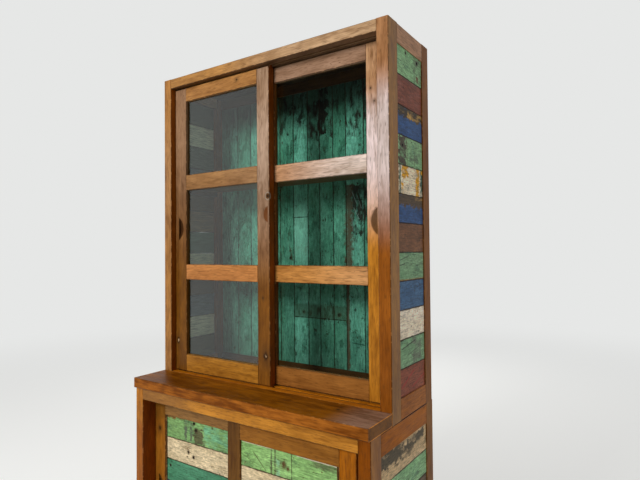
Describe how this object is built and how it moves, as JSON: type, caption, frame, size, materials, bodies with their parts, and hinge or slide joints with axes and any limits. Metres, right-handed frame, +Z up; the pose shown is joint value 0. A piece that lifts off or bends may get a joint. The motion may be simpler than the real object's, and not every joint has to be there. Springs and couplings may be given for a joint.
{
  "type": "kitchen cabinet",
  "caption": "Tall kitchen cabinet in two stacked cases of reclaimed wood, with sliding glazed doors above a counter ledge and sliding boarded doors below.",
  "frame": {"origin": "centre of the bounding box's bottom face, on the floor", "axes": "+Z up; the doors face -Y; +X to the right as seen from the front"},
  "size_m": [0.9, 0.41, 1.8],
  "materials": {
    "reclaimed_frame_wood": "oiled, satin",
    "door_frame_wood": "oiled, satin",
    "counter_wood": "varnished, glossy",
    "shelf_wood": "oiled, matt",
    "painted_side_boards": "old worn paint in many colours",
    "painted_back_boards": "old worn green paint",
    "painted_door_boards": "old worn paint in many colours",
    "window_glass": "clear"
  },
  "bodies": {
    "cabinet": {"lower_front_left_post": "reclaimed_frame_wood", "lower_front_right_post": "reclaimed_frame_wood", "lower_rear_left_post": "reclaimed_frame_wood", "lower_rear_right_post": "reclaimed_frame_wood", "lower_head_rail": "reclaimed_frame_wood", "lower_sill": "reclaimed_frame_wood", "lower_back_rails": "reclaimed_frame_wood", "lower_left_side_rails": "reclaimed_frame_wood", "lower_left_side_boards": "painted_side_boards", "lower_right_side_rails": "reclaimed_frame_wood", "lower_right_side_boards": "painted_side_boards", "lower_back_boards": "painted_back_boards", "lower_top_boards": "painted_back_boards", "lower_floor_boards": "shelf_wood", "upper_front_left_post": "reclaimed_frame_wood", "upper_front_right_post": "reclaimed_frame_wood", "upper_rear_left_post": "reclaimed_frame_wood", "upper_rear_right_post": "reclaimed_frame_wood", "upper_head_rail": "reclaimed_frame_wood", "upper_sill": "reclaimed_frame_wood", "upper_back_rails": "reclaimed_frame_wood", "upper_left_side_rails": "reclaimed_frame_wood", "upper_left_side_boards": "painted_side_boards", "upper_right_side_rails": "reclaimed_frame_wood", "upper_right_side_boards": "painted_side_boards", "upper_back_boards": "painted_back_boards", "upper_top_boards": "painted_back_boards", "upper_floor_boards": "shelf_wood", "counter_slab": "counter_wood", "upper_low_shelf": "shelf_wood", "upper_high_shelf": "shelf_wood", "lower_shelf": "shelf_wood", "shelf_cleats": "shelf_wood"},
    "upper_left_door": {"upper_left_door_outer_stile": "door_frame_wood", "upper_left_door_meeting_stile": "door_frame_wood", "upper_left_door_bottom_rail": "door_frame_wood", "upper_left_door_lower_mid_rail": "door_frame_wood", "upper_left_door_upper_mid_rail": "door_frame_wood", "upper_left_door_top_rail": "door_frame_wood", "upper_left_door_panes": "window_glass", "upper_left_door_beads": "door_frame_wood"},
    "upper_right_door": {"upper_right_door_outer_stile": "door_frame_wood", "upper_right_door_meeting_stile": "door_frame_wood", "upper_right_door_bottom_rail": "door_frame_wood", "upper_right_door_lower_mid_rail": "door_frame_wood", "upper_right_door_upper_mid_rail": "door_frame_wood", "upper_right_door_top_rail": "door_frame_wood", "upper_right_door_panes": "window_glass", "upper_right_door_beads": "door_frame_wood"},
    "lower_left_door": {"lower_left_door_outer_stile": "door_frame_wood", "lower_left_door_meeting_stile": "door_frame_wood", "lower_left_door_bottom_rail": "door_frame_wood", "lower_left_door_top_rail": "door_frame_wood", "lower_left_door_boards": "painted_door_boards"},
    "lower_right_door": {"lower_right_door_outer_stile": "door_frame_wood", "lower_right_door_meeting_stile": "door_frame_wood", "lower_right_door_bottom_rail": "door_frame_wood", "lower_right_door_top_rail": "door_frame_wood", "lower_right_door_boards": "painted_door_boards"}
  },
  "joints": [
    {"name": "upper_left_door_slide", "type": "slide", "parent": "cabinet", "child": "upper_left_door", "axis": [1, 0, 0], "range_m": [0, 0.387]},
    {"name": "upper_right_door_slide", "type": "slide", "parent": "cabinet", "child": "upper_right_door", "axis": [1, 0, 0], "range_m": [-0.387, 0]},
    {"name": "lower_left_door_slide", "type": "slide", "parent": "cabinet", "child": "lower_left_door", "axis": [1, 0, 0], "range_m": [0, 0.384]},
    {"name": "lower_right_door_slide", "type": "slide", "parent": "cabinet", "child": "lower_right_door", "axis": [1, 0, 0], "range_m": [-0.372, 0.012]}
  ]
}
